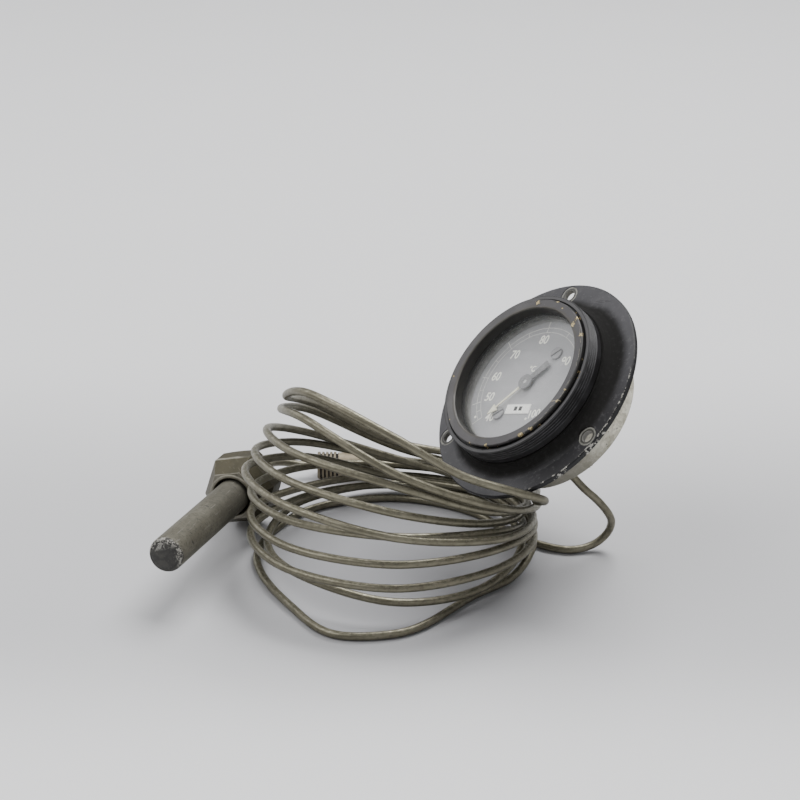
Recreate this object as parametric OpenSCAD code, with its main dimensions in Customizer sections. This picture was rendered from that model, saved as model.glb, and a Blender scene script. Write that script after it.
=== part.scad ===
// Capillary coolant temperature gauge: flanged dial head, coiled metal tube
// and a round sensing bulb with its hexagon union nut. Millimetres.
// Origin: centre of the flange's front face. The dial faces -Y and tilts up,
// +Z is up, and the whole set lies on a surface at z = -70.7.

/* [Gauge body] */
// Outside diameter of the mounting flange
flange_d = 89; // [87:0.5:89]
// Thickness of the mounting flange
flange_t = 2; // [1.4:0.1:2]
// Diameter of the circle through the three mounting screws
screw_circle_d = 80; // [79.5:0.1:80.2]
// Diameter of the mounting screw holes
screw_hole_d = 4.4; // [3.6:0.1:5]
// Outside diameter of the ridged bezel ring
bezel_d = 66; // [65:0.5:67]
// Diameter of the opening in front of the dial
opening_d = 54; // [50:0.5:54]
// Outside diameter of the rear case
case_d = 62.4; // [62.2:0.1:63]
// Depth of the rear case behind the flange's front face, cover included
case_depth = 19.7; // [19.5:0.1:20.5]

/* [Dial and pointer] */
// Thickness of the dial glass
glass_t = 1.6; // [1.2:0.1:1.6]
// Thickness of the dial plate
dial_t = 0.8; // [0.5:0.1:0.8]
// Length of the pointer from its axis to its tip
pointer_reach = 18.8; // [17:0.1:19.2]
// Width of the pointer's arrow at its widest
arrow_w = 3.3; // [2:0.1:3.6]

/* [Sensor] */
// Outside diameter of the sensing bulb
bulb_d = 13.1; // [12.6:0.1:13.2]
// Width across the flats of the union nut
nut_flats = 25.5; // [24.5:0.5:25.5]
// Length of the union nut
nut_len = 18; // [16.5:0.5:18]
// Outside diameter of the capillary tube
tube_d = 3; // [2.4:0.1:3.2]

/* [Hidden] */
$fn = 64;
tilt = 44.3;        // the dial faces this far up from the horizontal
roll = 27;          // the dial's top leans this far to the left
coil_at = [-22.9, -45.2, -70.7];
coil_turn = 63.5;
bulb_tip_at = [-81.8, -41.9, 24];
bulb_turn = 71.9;
bulb_rise = -6.5;
sleeve_at = [-31.6, 66, 5.6];

flange_r = flange_d / 2;
case_r = case_d / 2;
case_wall = 1;
cover_t = 1.5;
collar_r = bezel_d / 2;
opening_r = opening_d / 2;
neck_r = 30.6;
dial_z = 2.5 + dial_t;
glass_z = 6.6;
ring_z = glass_z + glass_t;
gland_y = -18;
gland_end = case_depth + 10;

// movement
gear_m = 0.3;
pinion_teeth = 12;
wheel_teeth = 96;
arbor_gap = gear_m * (pinion_teeth + wheel_teeth) / 2;
sweep = 270 * pinion_teeth / wheel_teeth;
tail_len = 5;
tail_a = -sweep / 2;
tail_pin = [tail_len * cos(tail_a), arbor_gap + tail_len * sin(tail_a)];
tip_pin = [tail_pin[0], 24.3];
tube_c_r = 24.8;
pillars = [[10, 19], [-10, 19], [10.5, -5], [-10.5, -5]];
posts = [for (a = [36, -144]) [15.2 * sin(a), 15.2 * cos(a)]];

// sensor, measured along its axis from the bulb's tip
nut_s = 62;
nose_len = 8;
bulb_len = 69;
collar_s = 69;
nut_bore_s = 73;
stem_end = 85;

// ---- placing -------------------------------------------------------------
module on_gauge() { rotate([90 - tilt, 0, 0]) rotate([0, 0, roll]) children(); }
module on_table() { translate(coil_at) rotate([0, 0, coil_turn]) children(); }
module on_bulb() {
  on_table() translate(bulb_tip_at) rotate([0, 0, bulb_turn])
    rotate([0, -bulb_rise, 0]) rotate([0, 90, 0]) children();
}

function turn_z(p, a) = [p[0] * cos(a) - p[1] * sin(a), p[0] * sin(a) + p[1] * cos(a), p[2]];
function turn_x(p, a) = [p[0], p[1] * cos(a) - p[2] * sin(a), p[1] * sin(a) + p[2] * cos(a)];
function gauge_pt(p) = turn_x(turn_z(p, roll), 90 - tilt);
function table_pt(p) = coil_at + turn_z(p, coil_turn);
function bulb_pt(s) = bulb_tip_at
  + s * [cos(bulb_turn) * cos(bulb_rise), sin(bulb_turn) * cos(bulb_rise), sin(bulb_rise)];

// ---- the tube's way ------------------------------------------------------
// from the case down to the table, in table coordinates
lead_in = [[70.5, -1.5, 30.3], [76, -1.5, 25], [80.2, 0, 19], [82, 3.5, 13], [81, 5.5, 7.8],
  [77.8, 5.5, 4], [73, 4, 2.2], [67, 3, 1.6], [60.5, 4.5, 1.6], [53, 9, 1.6], [45.5, 15.5, 1.6]];
// ten turns: [angle, radius, height]
t1 = [[45, 45, 1.6], [90, 45, 1.6], [135, 49, 1.6], [180, 52, 1.6], [225, 53.5, 1.6],
  [250, 61.5, 1.6], [270, 57.5, 1.6], [315, 42.5, 1.6], [338, 47.5, 2.1]];
t2 = [[52.3, 5.2], [53, 4.6], [53.5, 3.6], [52, 4.5], [48, 8], [50, 13.5], [49, 9.5], [45.8, 5.8]];
t3 = [[48.2, 7], [49, 5.6], [49.5, 5], [46.5, 9.5], [53.7, 13], [55.5, 18], [54, 18], [52, 16]];
t4 = [[52.5, 10.2], [52.5, 9], [51.5, 8.6], [45.5, 14.2], [53.6, 20.5], [54, 26], [52, 26.5], [50.5, 23]];
t5 = [[52.5, 15], [53, 13.4], [52.5, 12.6], [50, 20.5], [53.4, 29.2], [52.5, 36], [50, 36.5], [50.5, 30.5]];
t6 = [[48, 15.8], [48.6, 9.8], [47.5, 9.8], [48.5, 25.5], [55, 38.5], [57, 45], [56, 39.5], [54.5, 29.5]];
t7 = [[51.7, 19.3], [51.5, 17.4], [49.2, 16.8], [49, 31.5], [51.5, 45.5], [52, 51.5], [52, 47], [46.5, 32.5]];
t8 = [[47.5, 20.3], [47.4, 14.2], [45.8, 19], [49, 36], [47, 54], [48.5, 61], [49, 56], [48.5, 38]];
t9 = [[49.3, 24.2], [47.2, 19], [49.6, 22.3], [46, 46.5], [41.5, 62.5], [44, 73], [48, 60.5], [52, 41]];
t10 = [[53.3, 24.2], [51, 22.5], [46.2, 26], [42.5, 50], [39.5, 67.5], [41.5, 82], [46.5, 73.5]];
t11 = [[298, 54, 58.5], [312, 60, 52], [324, 64.5, 45], [342, 54, 33.5], [360, 53, 28.6],
  [382, 56.2, 23.8], [405, 58, 17], [428, 62.5, 9.5]];
// along the table to the sleeve and the bulb
lead_out = [[12, 65.5, 6.3], [-4, 66, 5.6], [-8, 66, 5.6], [-31.6, 66, 5.6], [-35, 66, 5.6],
  [-44.3, 63, 8.3], [-50, 55, 11.9]];

function cyl(q) = [q[1] * cos(q[0]), q[1] * sin(q[0]), q[2]];
function ring_of(t) = [for (i = [0 : len(t) - 1]) cyl([45 * i, t[i][0], t[i][1]])];
knots = [
  gauge_pt([0, gland_y, -gland_end]),
  gauge_pt([0, gland_y, -gland_end - 4]),
  for (p = lead_in) table_pt(p),
  for (q = t1) table_pt(cyl(q)),
  for (t = [t2, t3, t4, t5, t6, t7, t8, t9, t10]) for (p = ring_of(t)) table_pt(p),
  for (q = t11) table_pt(cyl(q)),
  for (p = lead_out) table_pt(p),
  table_pt(bulb_pt(stem_end + 4)),
  table_pt(bulb_pt(stem_end))
];
last = len(knots) - 1;
gaps = [for (i = [0 : last - 1]) norm(knots[i + 1] - knots[i])];
chords = [for (i = [0 : last - 1]) (knots[i + 1] - knots[i]) / gaps[i]];
slopes = [
  chords[0],
  for (i = [1 : last - 1]) (chords[i - 1] * gaps[i] + chords[i] * gaps[i - 1]) / (gaps[i] + gaps[i - 1]),
  chords[last - 1]
];
function hermite(i, s) =
  (2 * pow(s, 3) - 3 * pow(s, 2) + 1) * knots[i]
  + (pow(s, 3) - 2 * pow(s, 2) + s) * gaps[i] * slopes[i]
  + (3 * pow(s, 2) - 2 * pow(s, 3)) * knots[i + 1]
  + (pow(s, 3) - pow(s, 2)) * gaps[i] * slopes[i + 1];
function parts_of(g) = max(1, round(g / 7));
way = [for (i = [0 : last - 1]) for (j = [0 : parts_of(gaps[i]) - 1]) hermite(i, j / parts_of(gaps[i])), knots[last]];
way_n = len(way);
function unit(v) = v / norm(v);
ways = [
  unit(way[1] - way[0]),
  for (i = [1 : way_n - 2]) unit(unit(way[i] - way[i - 1]) + unit(way[i + 1] - way[i])),
  unit(way[way_n - 1] - way[way_n - 2])
];
lean = turn_z([-0.5, 0.5, 0.7], coil_turn);

module run_tube(r, sides) {
  pts = [for (i = [0 : way_n - 1])
    let (a = unit(cross(lean, ways[i])), b = cross(ways[i], a))
      for (k = [0 : sides - 1]) way[i] + r * (a * cos(360 * k / sides) + b * sin(360 * k / sides))];
  walls = [for (i = [0 : way_n - 2]) for (k = [0 : sides - 1])
    let (k2 = (k + 1) % sides, a = i * sides + k, b = i * sides + k2,
      c = (i + 1) * sides + k2, d = (i + 1) * sides + k) each [[a, c, b], [a, d, c]]];
  start = [for (k = [0 : sides - 1]) k];
  end = [for (k = [sides - 1 : -1 : 0]) (way_n - 1) * sides + k];
  polyhedron(points = pts, faces = concat([start], walls, [end]), convexity = 20);
}

// ---- small helpers -------------------------------------------------------
module slotted_screw(head_r, head_h, shank_r, shank_h) {
  difference() {
    union() {
      cylinder(r = head_r, h = head_h);
      translate([0, 0, -shank_h]) cylinder(r = shank_r, h = shank_h + 0.01);
    }
    translate([-head_r - 1, -0.3, head_h * 0.5]) cube([2 * head_r + 2, 0.6, head_h]);
  }
}

// straight-flanked gear teeth between two tooth numbers, about the origin
module teeth(count, first, final, tip_cut) {
  rp = gear_m * count / 2;
  step = 360 / count;
  for (k = [first : final])
    rotate([0, 0, k * step])
      polygon([[rp - 0.5, -0.32], [rp, -0.18], [rp + 0.27 - tip_cut, -0.09],
        [rp + 0.27 - tip_cut, 0.09], [rp, 0.18], [rp - 0.5, 0.32]]);
}

// ---- gauge body ----------------------------------------------------------
module flange_housing() {
  color([0.13, 0.13, 0.14]) on_gauge() difference() {
    rotate_extrude($fn = 128) polygon([
      [27.2, -5], [30.15, -5], [30.15, -flange_t + 0.3], [case_r + 0.1, -flange_t + 0.3], [case_r + 0.1, -flange_t],
      [flange_r - 0.2, -flange_t], [flange_r, -flange_t + 0.2],
      [flange_r, -0.35], [flange_r - 0.35, 0], [38.5, 0], [36.6, 0.35], [35.1, 1], [34.1, 1.9],
      [33.6, 2.8], [33.5, 3.5], [neck_r, 3.5], [neck_r, 10], [29, 10], [29, 6.2], [27.2, 6.2]]);
    for (a = [0, 120, 240]) rotate([0, 0, a]) translate([0, screw_circle_d / 2, 0]) {
      translate([0, 0, -flange_t - 1]) cylinder(d = screw_hole_d, h = flange_t + 2);
      translate([0, 0, -0.15]) cylinder(r = 3.9, h = 1);
    }
  }
}

module bezel_collar() {
  ridge = [for (i = [0 : 3]) each [[collar_r, 6.4 + 1.1 * i], [collar_r - 0.45, 6.8 + 1.1 * i], [collar_r - 0.45, 7.1 + 1.1 * i], [collar_r, 7.35 + 1.1 * i]]];
  color([0.11, 0.11, 0.12]) on_gauge() rotate_extrude($fn = 128) polygon(concat(
    [[30.7, 3.6], [collar_r - 0.5, 3.6], [collar_r, 4.1]], ridge,
    [[collar_r - 0.2, 11], [31.5, 11], [31.1, 10.5], [30.4, 10.5], [30.2, 11], [28.95, 11], [28.95, 10.1], [30.7, 10.1]]));
}

module bezel_front_ring() {
  color([0.3, 0.29, 0.31]) on_gauge() rotate_extrude($fn = 128) polygon([
    [opening_r, ring_z], [28.75, ring_z], [28.75, 11], [30.35, 11], [30.7, 11.35], [30.7, 12], [30.4, 12.3],
    [opening_r + 0.4, 12.3], [opening_r, 11.9]]);
}

module glass() {
  color([0.8, 0.85, 0.85, 0.35]) on_gauge() translate([0, 0, glass_z]) cylinder(r = 28.7, h = glass_t, $fn = 128);
}

module glass_gasket() {
  color([0.1, 0.1, 0.1]) on_gauge() rotate_extrude($fn = 128) polygon([
    [27.1, 6.2], [28.9, 6.2], [28.9, glass_z], [27.1, glass_z]]);
}

module dial_spacer_ring() {
  color([0.08, 0.08, 0.08]) on_gauge() rotate_extrude($fn = 128) polygon([
    [26.5, dial_z], [26.85, dial_z], [27.1, dial_z + 0.25], [27.1, 6.1], [26.5, 6.1]]);
}

module rear_case() {
  ri = case_r - case_wall;
  color([0.66, 0.62, 0.55]) on_gauge() difference() {
    union() {
      rotate_extrude($fn = 128) polygon([
        [ri, -case_depth + cover_t], [case_r, -case_depth + cover_t], [case_r, -flange_t + 0.3], [ri, -flange_t + 0.3]]);
      for (a = [45 : 90 : 315]) rotate([0, 0, a]) translate([26.6, -1.9, -case_depth + cover_t + 0.2]) cube([4, 3.8, 5]);
    }
    for (a = [45 : 90 : 315]) rotate([0, 0, a]) translate([28.2, 0, -case_depth + cover_t - 1]) cylinder(r = 0.9, h = 5, $fn = 32);
  }
}

module back_cover() {
  color([0.62, 0.59, 0.53]) on_gauge() difference() {
    rotate_extrude($fn = 128) polygon([
      [0, -case_depth], [case_r - 0.8, -case_depth], [case_r, -case_depth + 0.8], [case_r, -case_depth + cover_t], [0, -case_depth + cover_t]]);
    translate([0, gland_y, -case_depth - 1]) cylinder(r = 3.9, h = cover_t + 2);
    for (a = [45 : 90 : 315]) rotate([0, 0, a]) translate([28.2, 0, -case_depth - 1]) cylinder(r = 0.9, h = cover_t + 2, $fn = 32);
    for (x = [-4.5, 4.5]) translate([x, -24, -case_depth - 1]) cylinder(r = 0.9, h = cover_t + 2, $fn = 32);
  }
}

module back_cover_screws() {
  color([0.45, 0.44, 0.42]) on_gauge() {
    for (a = [45 : 90 : 315]) rotate([0, 0, a]) translate([28.2, 0, -case_depth]) rotate([180, 0, 0])
      slotted_screw(1.7, 0.8, 0.9, 4.5, $fn = 32);
    for (x = [-4.5, 4.5]) translate([x, -24, -case_depth]) rotate([180, 0, 0])
      slotted_screw(1.7, 0.8, 0.9, 4.2, $fn = 32);
  }
}

module capillary_gland() {
  color([0.5, 0.47, 0.4]) on_gauge() translate([0, gland_y, -case_depth]) difference() {
    union() {
      cylinder(r = 3.9, h = cover_t);
      translate([0, 0, -3]) cylinder(r = 5.2, h = 3, $fn = 6);
      rotate([180, 0, 0]) translate([0, 0, 3]) cylinder(r1 = 3.4, r2 = 2.6, h = 7);
    }
    translate([0, 0, cover_t - 1]) cylinder(r = 0.7, h = 2, $fn = 24);
  }
}

// ---- dial and pointer ----------------------------------------------------
module dial_plate() {
  color([0.2, 0.2, 0.21]) on_gauge() difference() {
    translate([0, 0, 2.5]) cylinder(r = 26.9, h = dial_t, $fn = 128);
    translate([0, 0, 2]) cylinder(r = 2, h = 3);
    for (p = posts) translate([p[0], p[1], 2]) cylinder(r = 1.25, h = 3, $fn = 32);
  }
}

module dial_id_plate() {
  color([0.85, 0.85, 0.82]) on_gauge() translate([-5.9, -12.5, dial_z]) cube([11.8, 3.8, 0.3]);
}

module dial_screws() {
  color([0.3, 0.3, 0.31]) on_gauge() for (p = posts) translate([p[0], p[1], dial_z]) rotate([0, 0, 35])
    slotted_screw(2.5, 0.8, 1.2, 3, $fn = 48);
}

module dial_posts() {
  color([0.72, 0.6, 0.34]) on_gauge() for (p = posts) translate([p[0], p[1], 0]) difference() {
    cylinder(r = 2, h = 2.5, $fn = 48);
    translate([0, 0, -1]) cylinder(r = 1.2, h = 4, $fn = 48);
  }
}

module pointer() {
  color([0.75, 0.74, 0.62]) on_gauge() rotate([0, 0, 225]) difference() {
    union() {
      translate([0, 0, 4.5]) linear_extrude(0.4) polygon([
        [0, -0.5], [pointer_reach - 4.2, -0.3], [pointer_reach - 4.2, -arrow_w / 2], [pointer_reach, 0],
        [pointer_reach - 4.2, arrow_w / 2], [pointer_reach - 4.2, 0.3], [0, 0.5],
        [-2.5, 1.1], [-11, 1.5], [-11, -1.5], [-2.5, -1.1]]);
      translate([0, 0, 4.5]) cylinder(r = 3, h = 0.8);
      translate([0, 0, 3]) cylinder(r = 1.5, h = 2);
    }
    translate([0, 0, 2]) cylinder(r = 0.8, h = 5, $fn = 32);
  }
}

// ---- movement ------------------------------------------------------------
module pointer_arbor() {
  color([0.6, 0.6, 0.6]) on_gauge() translate([0, 0, -9.4]) cylinder(r = 0.8, h = 14.6, $fn = 32);
}

module pinion() {
  color([0.75, 0.62, 0.35]) on_gauge() difference() {
    union() {
      translate([0, 0, -7]) linear_extrude(2.6) rotate([0, 0, 90]) union() {
        circle(r = 1.36, $fn = 36);
        rotate([0, 0, 15]) teeth(pinion_teeth, 0, 11, 0);
      }
      translate([0, 0, -7.6]) cylinder(r = 1.3, h = 0.7, $fn = 32);
    }
    translate([0, 0, -8]) cylinder(r = 0.8, h = 5, $fn = 32);
  }
}

module sector_gear() {
  rp = gear_m * wheel_teeth / 2;
  color([0.78, 0.66, 0.38]) on_gauge() translate([0, arbor_gap, -6.5]) linear_extrude(1.5) difference() {
    union() {
      circle(r = 2.6, $fn = 48);
      rotate([0, 0, -90]) teeth(wheel_teeth, -11, 2, 0);
      rotate([0, 0, -90 - 360 / wheel_teeth * 4.5]) polygon(concat([[0, -2.2]],
        [for (a = [-26 : 2 : 26]) (rp - 0.4) * [cos(a), sin(a)]], [[0, 2.2]]));
      rotate([0, 0, tail_a]) translate([0, -1.3]) square([tail_len, 2.6]);
      rotate([0, 0, tail_a]) translate([tail_len, 0]) circle(r = 1.5, $fn = 32);
    }
    circle(r = 0.8, $fn = 32);
    rotate([0, 0, -90 - 360 / wheel_teeth * 4.5]) translate([9, 0]) circle(r = 2.4, $fn = 48);
    rotate([0, 0, tail_a]) translate([tail_len, 0]) circle(r = 0.65, $fn = 32);
  }
}

module sector_arbor() {
  color([0.6, 0.6, 0.6]) on_gauge() translate([0, arbor_gap, -9.4]) cylinder(r = 0.8, h = 8.9, $fn = 32);
}

module drive_link() {
  color([0.7, 0.58, 0.34]) on_gauge() translate([0, 0, -7.6]) linear_extrude(0.8) difference() {
    union() {
      translate([tail_pin[0] - 0.9, tail_pin[1]]) square([1.8, tip_pin[1] - tail_pin[1]]);
      translate(tail_pin) circle(r = 1.4, $fn = 32);
      translate(tip_pin) circle(r = 1.4, $fn = 32);
    }
    translate(tail_pin) circle(r = 0.6, $fn = 32);
    translate(tip_pin) circle(r = 0.6, $fn = 32);
  }
}

module link_pins() {
  color([0.6, 0.6, 0.6]) on_gauge() {
    translate([tail_pin[0], tail_pin[1], -7.7]) cylinder(r = 0.6, h = 3.2, $fn = 32);
    translate([tail_pin[0], tail_pin[1], -4.7]) cylinder(r = 1, h = 0.5, $fn = 32);
    translate([tip_pin[0], tip_pin[1], -7.7]) cylinder(r = 0.6, h = 1.2, $fn = 32);
    translate([tip_pin[0], tip_pin[1], -6.8]) cylinder(r = 1, h = 0.5, $fn = 32);
  }
}

module plate_shape(low) {
  intersection() {
    circle(r = 23, $fn = 96);
    translate([-12.5, low]) square([25, 60]);
  }
}

module movement_front_plate() {
  color([0.76, 0.64, 0.37]) on_gauge() translate([0, 0, -1]) linear_extrude(1) difference() {
    plate_shape(-15);
    circle(r = 0.85, $fn = 32);
    translate([0, arbor_gap]) circle(r = 0.85, $fn = 32);
    for (p = pillars) translate(p) circle(r = 0.9, $fn = 32);
  }
}

module movement_rear_plate() {
  color([0.76, 0.64, 0.37]) on_gauge() translate([0, 0, -9]) linear_extrude(1) difference() {
    union() {
      plate_shape(-15);
      translate([-6.5, -23]) square([13, 12]);
    }
    circle(r = 0.85, $fn = 32);
    translate([0, arbor_gap]) circle(r = 0.85, $fn = 32);
    for (x = [-4.5, 4.5]) translate([x, -19]) circle(r = 0.9, $fn = 32);
  }
}

module movement_pillars() {
  color([0.74, 0.62, 0.36]) on_gauge() for (p = pillars) translate([p[0], p[1], -8]) difference() {
    cylinder(r = 1.8, h = 7, $fn = 48);
    translate([0, 0, 3]) cylinder(r = 0.9, h = 5, $fn = 32);
  }
}

module pillar_screws() {
  color([0.55, 0.55, 0.55]) on_gauge() for (p = pillars) translate([p[0], p[1], 0])
    slotted_screw(1.7, 0.8, 0.9, 4, $fn = 32);
}

module socket_block() {
  color([0.7, 0.58, 0.34]) on_gauge() difference() {
    translate([-7, -28.2, -case_depth + cover_t]) cube([14, 14.2, case_depth - cover_t - 9]);
    translate([0, gland_y, -case_depth]) cylinder(r = 0.7, h = 6, $fn = 24);
    for (x = [-4.5, 4.5]) {
      translate([x, -19, -13]) cylinder(r = 0.9, h = 6, $fn = 32);
      translate([x, -24, -case_depth]) cylinder(r = 0.9, h = 4.4, $fn = 32);
    }
    translate([-20, -26.2, -15]) cube([16, 4.1, 5]);
  }
}

module socket_screws() {
  color([0.55, 0.55, 0.55]) on_gauge() for (x = [-4.5, 4.5]) translate([x, -19, -8])
    slotted_screw(1.7, 0.8, 0.9, 4.5, $fn = 32);
}

// the pressure tube runs from the block up the left side to the tip
module bourdon_tube() {
  color([0.74, 0.56, 0.34]) on_gauge() rotate([0, 0, 83]) rotate_extrude(angle = 175, $fn = 128) polygon([
    [23.6, -14.4], [24.2, -15], [25.4, -15], [26, -14.4], [26, -10.6], [25.4, -10], [24.2, -10], [23.6, -10.6]]);
}

module bourdon_tip() {
  color([0.7, 0.58, 0.34]) on_gauge() rotate([0, 0, 83]) translate([23.4, -4.5, -15]) union() {
    cube([2.7, 4.5, 5.01]);
    translate([0, 0, 5]) cube([2.7, 4.5, 2.1]);
  }
}

module hairspring() {
  n = 5 * 24;
  function spiral(i, d) = let (r = 1.5 + 4.6 * i / n + d, a = 360 * i / 24) [r * cos(a), r * sin(a)];
  color([0.45, 0.47, 0.55]) on_gauge() union() {
    translate([0, 0, -3]) linear_extrude(0.7) polygon(concat(
      [for (i = [0 : n]) spiral(i, 0.1)], [for (i = [n : -1 : 0]) spiral(i, -0.1)]));
    translate([0, 0, -3.3]) difference() {
      cylinder(r = 1.6, h = 1.3, $fn = 32);
      translate([0, 0, -1]) cylinder(r = 0.8, h = 4, $fn = 32);
    }
  }
}

// ---- capillary and sensor ------------------------------------------------
module capillary() {
  color([0.45, 0.43, 0.37]) run_tube(tube_d / 2, 8);
}

module capillary_sleeve() {
  bore = tube_d / 2 + 0.05;
  ribs = [for (i = [0 : 4]) each [[5.5, 0.3 + 1.6 * i], [5.5, 1.1 + 1.6 * i], [4.7, 1.3 + 1.6 * i], [4.7, 1.7 + 1.6 * i]]];
  color([0.55, 0.5, 0.4]) on_table() translate(sleeve_at) rotate([0, 90, 0]) rotate_extrude($fn = 64) polygon(concat(
    [[bore, 0], [5.2, 0]], ribs, [[5.25, 8.6], [5.25, 23.1], [4.8, 23.6], [bore, 23.6]]));
}

module bulb() {
  r = bulb_d / 2;
  color([0.45, 0.44, 0.41]) on_bulb() rotate_extrude($fn = 96) polygon([
    [5.2, 0.5], [r - 0.85, 0.65], [r - 0.4, 1.15], [r - 0.12, 1.8], [r, 2.6], [r, bulb_len], [5.2, bulb_len]]);
}

module bulb_tip() {
  color([0.36, 0.35, 0.33]) on_bulb() rotate_extrude($fn = 96) polygon([
    [0, 0], [2.2, 0.04], [3.8, 0.18], [4.7, 0.35], [5.2, 0.5], [5.2, 4], [0, 4]]);
}

module bulb_collar() {
  color([0.5, 0.47, 0.4]) on_bulb() rotate_extrude($fn = 96) polygon([
    [0, collar_s - 4], [5.2, collar_s - 4], [5.2, collar_s], [6.4, collar_s], [7.25, collar_s + 1], [7.25, collar_s + 3.2], [0, collar_s + 3.2]]);
}

module bulb_stem() {
  color([0.5, 0.47, 0.4]) on_bulb() rotate_extrude($fn = 64) polygon([
    [0, collar_s + 3.2], [3, collar_s + 3.2], [3, stem_end - 1.5], [2.2, stem_end], [0, stem_end]]);
}

module slip_washer() {
  color([0.62, 0.5, 0.3]) on_bulb() translate([0, 0, collar_s + 3.2]) difference() {
    cylinder(r = 7.1, h = 0.7);
    translate([0, 0, -1]) cylinder(r = 3.1, h = 3);
  }
}

module union_nut() {
  corner = nut_flats / sqrt(3);
  top = nut_s + nut_len;
  color([0.42, 0.38, 0.3]) on_bulb() difference() {
    union() {
      rotate_extrude($fn = 96) polygon([
        [0, nut_s], [8.5, nut_s], [8.9, nut_s + 0.4], [8.9, nut_s + 2], [0, nut_s + 2]]);
      rotate([0, 0, 16]) translate([0, 0, nut_s + 0.6]) cylinder(r1 = 10.4, r2 = corner, h = nose_len - 0.6, $fn = 6);
      intersection() {
        rotate([0, 0, 16]) translate([0, 0, nut_s + nose_len]) cylinder(r = corner, h = nut_len - nose_len, $fn = 6);
        rotate_extrude($fn = 96) polygon([
          [0, nut_s + nose_len - 1], [corner + 0.1, nut_s + nose_len - 1], [corner + 0.1, top - 1.4], [nut_flats / 2 - 0.3, top], [0, top]]);
      }
    }
    rotate_extrude($fn = 96) polygon([
      [0, nut_s - 1], [8.05, nut_s - 0.3], [7.45, nut_s + 0.3], [7.45, nut_bore_s], [0, nut_bore_s]]);
    translate([0, 0, nut_bore_s - 1]) cylinder(r = 3.3, h = nut_len);
  }
}

flange_housing();
bezel_collar();
bezel_front_ring();
glass();
glass_gasket();
dial_spacer_ring();
rear_case();
back_cover();
back_cover_screws();
capillary_gland();
dial_plate();
dial_id_plate();
dial_screws();
dial_posts();
pointer();
pointer_arbor();
pinion();
sector_gear();
sector_arbor();
drive_link();
link_pins();
movement_front_plate();
movement_rear_plate();
movement_pillars();
pillar_screws();
socket_block();
socket_screws();
bourdon_tube();
bourdon_tip();
hairspring();
capillary();
capillary_sleeve();
bulb();
bulb_tip();
bulb_collar();
bulb_stem();
slip_washer();
union_nut();
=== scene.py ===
import bpy, bmesh, math, random
from mathutils import Vector, Matrix, Euler, noise


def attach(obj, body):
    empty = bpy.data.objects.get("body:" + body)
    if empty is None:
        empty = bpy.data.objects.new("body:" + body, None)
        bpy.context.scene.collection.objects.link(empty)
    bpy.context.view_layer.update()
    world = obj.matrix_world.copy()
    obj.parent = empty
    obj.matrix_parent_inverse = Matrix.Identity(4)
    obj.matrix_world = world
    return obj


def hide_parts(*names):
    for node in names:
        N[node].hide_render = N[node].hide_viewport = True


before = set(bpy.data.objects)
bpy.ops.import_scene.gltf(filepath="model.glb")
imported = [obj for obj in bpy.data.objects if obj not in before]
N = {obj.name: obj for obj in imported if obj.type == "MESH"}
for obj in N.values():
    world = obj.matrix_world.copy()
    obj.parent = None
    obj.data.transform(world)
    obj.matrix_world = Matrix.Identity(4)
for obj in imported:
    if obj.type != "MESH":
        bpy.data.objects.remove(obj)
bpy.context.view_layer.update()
random.seed(11)
FLOOR = -0.0707

# ---------------------------------------------------------------- placing
TILT, ROLL = math.radians(90 - 44.3), math.radians(27)
GM = Matrix.Rotation(TILT, 4, "X") @ Matrix.Rotation(ROLL, 4, "Z")
KM = Matrix.Translation((-0.0229, -0.0452, FLOOR)) @ Matrix.Rotation(math.radians(63.5), 4, "Z")
BM = KM @ Matrix.Translation((-0.0818, -0.0419, 0.024)) @ Matrix.Rotation(math.radians(71.9), 4, "Z") \
    @ Matrix.Rotation(math.radians(6.5), 4, "Y") @ Matrix.Rotation(math.radians(90), 4, "Y")


def G(x, y, z):
    return GM @ Vector((x / 1000, y / 1000, z / 1000))


def K(x, y, z):
    return KM @ Vector((x / 1000, y / 1000, z / 1000))


def B(s):
    return BM @ Vector((0, 0, s / 1000))


# ---------------------------------------------------------------- camera
cam_data = bpy.data.cameras.new("camera")
cam_data.lens = 90
cam_data.sensor_width = 36
cam = bpy.data.objects.new("camera", cam_data)
bpy.context.collection.objects.link(cam)
cam.location = Vector((0.5708, -0.3382, 0.3053))
look = Vector((-0.8109, 0.4033, -0.4242))
cam.rotation_mode = "QUATERNION"
cam.rotation_quaternion = look.to_track_quat("-Z", "Y")
cam_data.clip_start, cam_data.clip_end = 0.05, 30
bpy.context.scene.camera = cam

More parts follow.
